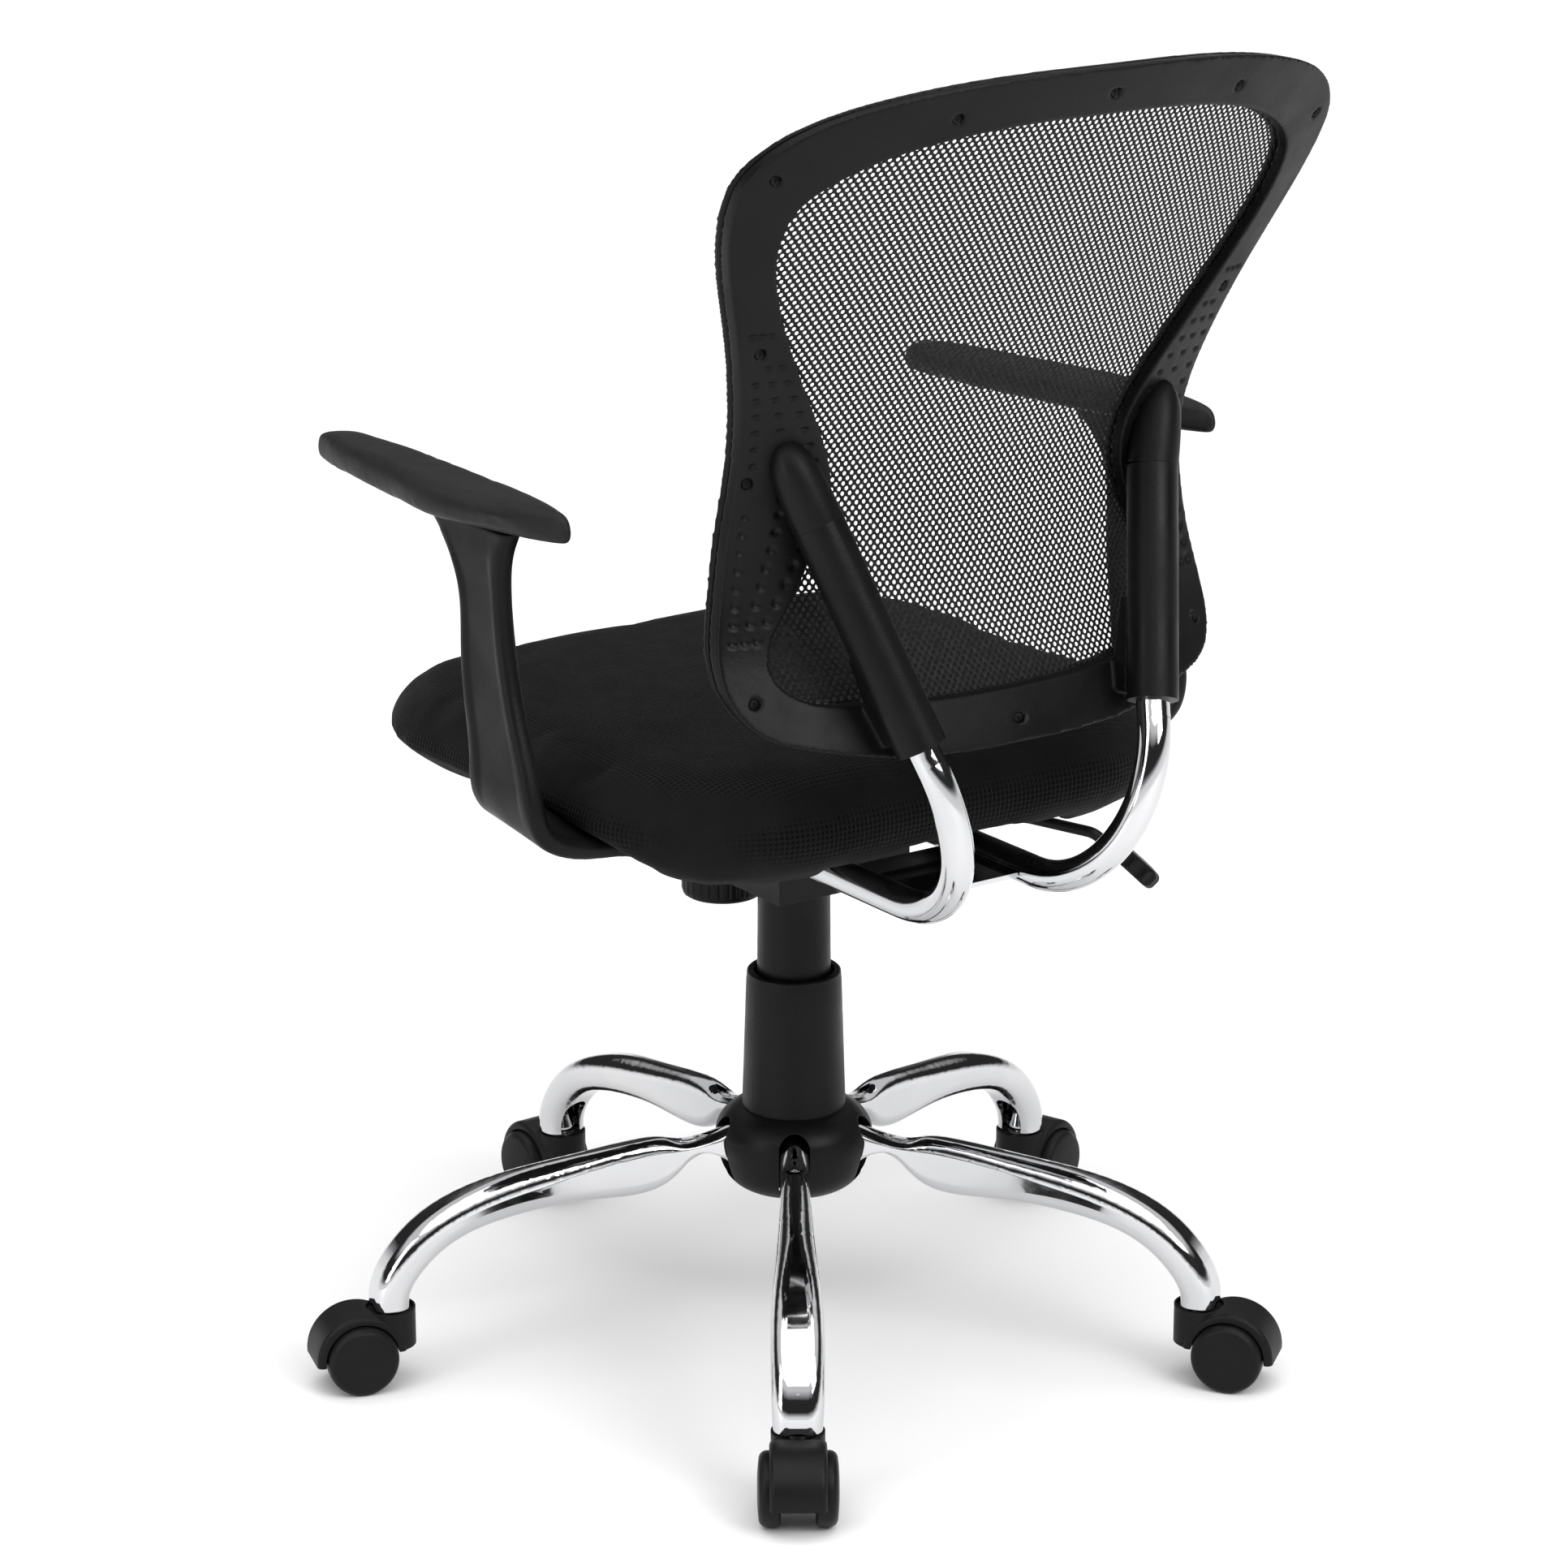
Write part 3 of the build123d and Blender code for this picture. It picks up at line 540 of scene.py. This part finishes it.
def make_arm(side):
    """Arm with rounded edges and a shallow channel down its outer face."""
    arm = remeshed(f"arm_shell_{side}", nodes[f"arm_{side}"].data, ARM_VOXEL, 8)
    points, normals = points_of(arm), normals_of(arm)
    sign = 1 if side == "left" else -1
    outward = np.clip((sign * normals[:, 0] - normals[:, 2] * 0.6 - 0.55) / 0.3, 0, 1)
    height = points[:, 2]
    bins = np.arange(height.min(), height.max() + 0.004, 0.004)
    index = np.digitize(height, bins)
    middle, half = np.zeros(len(points)), np.ones(len(points))
    for number in np.unique(index):
        row = index == number
        near, far = points[row, 1].min(), points[row, 1].max()
        middle[row], half[row] = (near + far) / 2, (far - near) / 2
    across = np.abs(points[:, 1] - middle) / half
    inside = np.clip((0.74 - across) / 0.16, 0, 1)
    smooth = inside * inside * (3 - 2 * inside)
    low, high = 0.445, 0.632
    ends = np.clip((height - low) / 0.03, 0, 1) * np.clip((high - height) / 0.03, 0, 1)
    push = CHANNEL_DEPTH * MM * smooth * outward * ends
    set_points(arm, points - normals * push[:, None])
    settle(arm, "seat", "arm_plastic", f"arm_{side}")


# ---------------------------------------------------------------- back

def shell_tree(name):
    mesh = nodes[name].data
    return BVHTree.FromPolygons([v.co for v in mesh.vertices], [p.vertices for p in mesh.polygons])


def rear_hit(tree, x, z):
    """Point and normal on the rear face of a node, seen from behind, or None."""
    spot, normal, _, _ = tree.ray_cast(Vector((x, 1, z)), Vector((0, -1, 0)))
    return (spot, normal) if spot is not None else None


def arc_rows(tree, low, high):
    """Heights at equal steps along the back's curved centre line."""
    heights = np.arange(low, high, MM)
    depths = []
    for z in heights:
        hit = rear_hit(tree, 0, z)
        depths.append(hit[0].y if hit else (depths[-1] if depths else 0.0))
    lengths = np.concatenate([[0], np.cumsum(np.hypot(np.diff(heights), np.diff(depths)))])
    return lambda length: float(np.interp(length * MM, lengths, heights)), lengths[-1] / MM


def cell_corners():
    """The twelve points round a knit cell, corners and mid-sides, from its middle, in millimetres."""
    half_x, half_row = KNIT_ACROSS / 2, KNIT_UP / 2
    top = (half_x ** 2 + half_row ** 2) / 2 / half_row
    shoulder = top - half_x * half_x / half_row
    ring = [(half_x, shoulder), (0, top), (-half_x, shoulder), (-half_x, -shoulder), (0, -top),
            (half_x, -shoulder)]
    full = []
    for k, (x, z) in enumerate(ring):
        after = ring[(k + 1) % 6]
        full += [(x, z), ((x + after[0]) / 2, (z + after[1]) / 2)]
    return full


def make_back_net():
    """The knitted back: yarn ridges round rows of holes, stretched over the frame's curved face."""
    tree = shell_tree("back_mesh")
    low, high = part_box("back_mesh")
    to_height, length = arc_rows(tree, low.z + 0.001, high.z - 0.001)
    corners = cell_corners()
    points, faces, known = [], [], {}

    def lay(x, run, lift):
        hit = rear_hit(tree, x * MM, to_height(run))
        if hit is None:
            return None
        spot, normal = hit
        return spot + normal * (lift - 0.6) * MM

    def shared(x, run, lift):
        """A point that neighbouring cells use together."""
        key = (round(x * 50), round(run * 50))
        if key not in known:
            spot = lay(x, run, lift)
            known[key] = None if spot is None else len(points)
            if spot is not None:
                points.append(spot)
        return known[key]

    rows = int(length / (KNIT_UP / 2))
    columns = int(high.x / MM / KNIT_ACROSS) + 1
    for row in range(1, rows):
        run = row * KNIT_UP / 2
        for column in range(-columns, columns + 1):
            x = column * KNIT_ACROSS + (row % 2) * KNIT_ACROSS / 2
            outer = [shared(x + dx, run + dz, YARN_RISE * (1.3 if k % 2 == 0 else 1))
                     for k, (dx, dz) in enumerate(corners)]
            if None in outer:
                continue
            inner = []
            for dx, dz in corners:
                angle = math.atan2(dz, dx)
                spot = lay(x + HOLE_ACROSS * math.cos(angle), run + HOLE_UP * math.sin(angle), -YARN_RISE)
                inner.append(len(points))
                points.append(spot)
            for k in range(12):
                after = (k + 1) % 12
                faces.append((outer[k], outer[after], inner[after], inner[k]))
    net = from_points("back_net", points, faces)
    settle(net, "seat", "mesh", "back_mesh")


def member_edges(points, z):
    """Inner and outer x of the frame's side member at a height, in metres."""
    near = points[(np.abs(points[:, 2] - z) < 0.002) & (points[:, 0] > 0.06), 0]
    return near.min(), near.max()


def dimple_places(points):
    """(x, z, half width, half height) of the grip dimples on one side member, in metres."""
    places = []
    screws = points_of(nodes["frame_screws"])
    for row in range(DIMPLE_ROWS):
        z = DIMPLE_TOP - DIMPLE_PITCH * row
        inner, outer = member_edges(points, z)
        round_row = z < DIMPLE_ROUND_BELOW
        first, last = outer - 0.0095, inner + 0.0115
        for x in (first, (first + last) / 2, last):
            clear = np.hypot(screws[:, 0] - x, screws[:, 2] - z).min() > 0.008
            if clear and outer - inner > 0.028:
                places.append((x, z, 0.0034, 0.0034) if round_row else (x, z, 0.0031, 0.0021))
    return places


def make_frame_rear():
    """Rear frame: rounded section with small grip dimples down both side members."""
    shell = remeshed("back_shell_rear", nodes["back_frame_rear"].data, FRAME_VOXEL, 7)
    points, normals = points_of(shell), normals_of(shell)
    push = np.zeros(len(points))
    rearward = normals[:, 1] > 0.3
    for x, z, half_x, half_z in dimple_places(points):
        for side in (-1, 1):
            gap = np.hypot((points[:, 0] - side * x) / half_x, (points[:, 2] - z) / half_z)
            share = np.clip(1.25 - gap, 0, 1)
            push = np.maximum(push, share * share * (3 - 2 * share) * rearward)
    set_points(shell, points - normals * (DIMPLE_DEPTH * MM * push)[:, None])
    settle(shell, "seat", "frame_plastic", "back_frame_rear")


def make_frame_front():
    """Front ring that clamps the knit, with a rounded lip all round."""
    ring = remeshed("back_shell_front", nodes["back_frame_front"].data, FRAME_VOXEL, 9)
    settle(ring, "seat", "frame_plastic", "back_frame_front")


# ---------------------------------------------------------------- stage

def make_floor():
    half = 20.0
    floor = from_points("floor", [(-half, -half, 0), (half, -half, 0), (half, half, 0), (-half, half, 0)],
                        [(0, 1, 2, 3)])
    look = Look("pale_floor", (0.86, 0.86, 0.86), 0.6)
    look.tint(look.spread(look.noise(0.4), 0, 1), (0.85, 0.85, 0.85), (0.87, 0.87, 0.87))
    floor.data.materials.append(look.material)


def make_world():
    """Soft white surround with a dark band above the horizon, for the chrome to show."""
    world = bpy.data.worlds.new("studio")
    world.use_nodes = True
    scene.world = world
    tree = world.node_tree
    split = tree.nodes.new("ShaderNodeSeparateXYZ")
    sky = tree.nodes.new("ShaderNodeTexCoord")
    ramp = tree.nodes.new("ShaderNodeValToRGB")
    tree.links.new(sky.outputs["Generated"], split.inputs[0])
    tree.links.new(split.outputs["Z"], ramp.inputs["Fac"])
    stops = ramp.color_ramp.elements
    stops[0].position, stops[1].position = WORLD_BANDS[0][0], WORLD_BANDS[-1][0]
    for place, _ in WORLD_BANDS[1:-1]:
        stops.new(place)
    for stop, (_, shade) in zip(stops, WORLD_BANDS):
        stop.color = (shade, shade, shade * 1.01, 1)
    tree.links.new(ramp.outputs["Color"], tree.nodes["Background"].inputs["Color"])
    tree.nodes["Background"].inputs["Strength"].default_value = 1.0


def make_light(name, place, target, size, power):
    lamp = bpy.data.lights.new(name, "AREA")
    lamp.shape = "RECTANGLE"
    lamp.size, lamp.size_y = size
    lamp.energy = power
    holder = bpy.data.objects.new(name, lamp)
    holder.location = place
    holder.rotation_euler = (Vector(target) - Vector(place)).to_track_quat("-Z", "Y").to_euler()
    scene.collection.objects.link(holder)


def make_sun():
    """A very soft overhead light that reaches the whole floor evenly."""
    lamp = bpy.data.lights.new("overhead", "SUN")
    lamp.energy = 2.2
    lamp.angle = math.radians(75)
    holder = bpy.data.objects.new("overhead", lamp)
    holder.rotation_euler = (math.radians(-12), math.radians(8), 0)
    scene.collection.objects.link(holder)


def make_camera():
    data = bpy.data.cameras.new("camera")
    data.lens, data.sensor_width = CAMERA_LENS, 36
    camera = bpy.data.objects.new("camera", data)
    camera.location = CAMERA_PLACE
    aim = Vector(CAMERA_TARGET) - Vector(CAMERA_PLACE)
    camera.rotation_euler = aim.to_track_quat("-Z", "Y").to_euler()
    scene.collection.objects.link(camera)
    scene.camera = camera


make_camera()
make_floor()
make_world()
make_light("key", (-0.6, 3.4, 2.6), (0, 0, 0.5), (2.0, 1.4), 70)
make_light("fill", (3.4, 0.3, 1.5), (0, 0, 0.45), (1.2, 2.2), 35)
make_sun()
scene.view_settings.view_transform = "Standard"
finish_nodes()
squeeze_spring()
make_seat_pad()
for arm_side in ("left", "right"):
    make_arm_pad(arm_side)
    make_arm(arm_side)
make_back_net()
make_frame_rear()
make_frame_front()
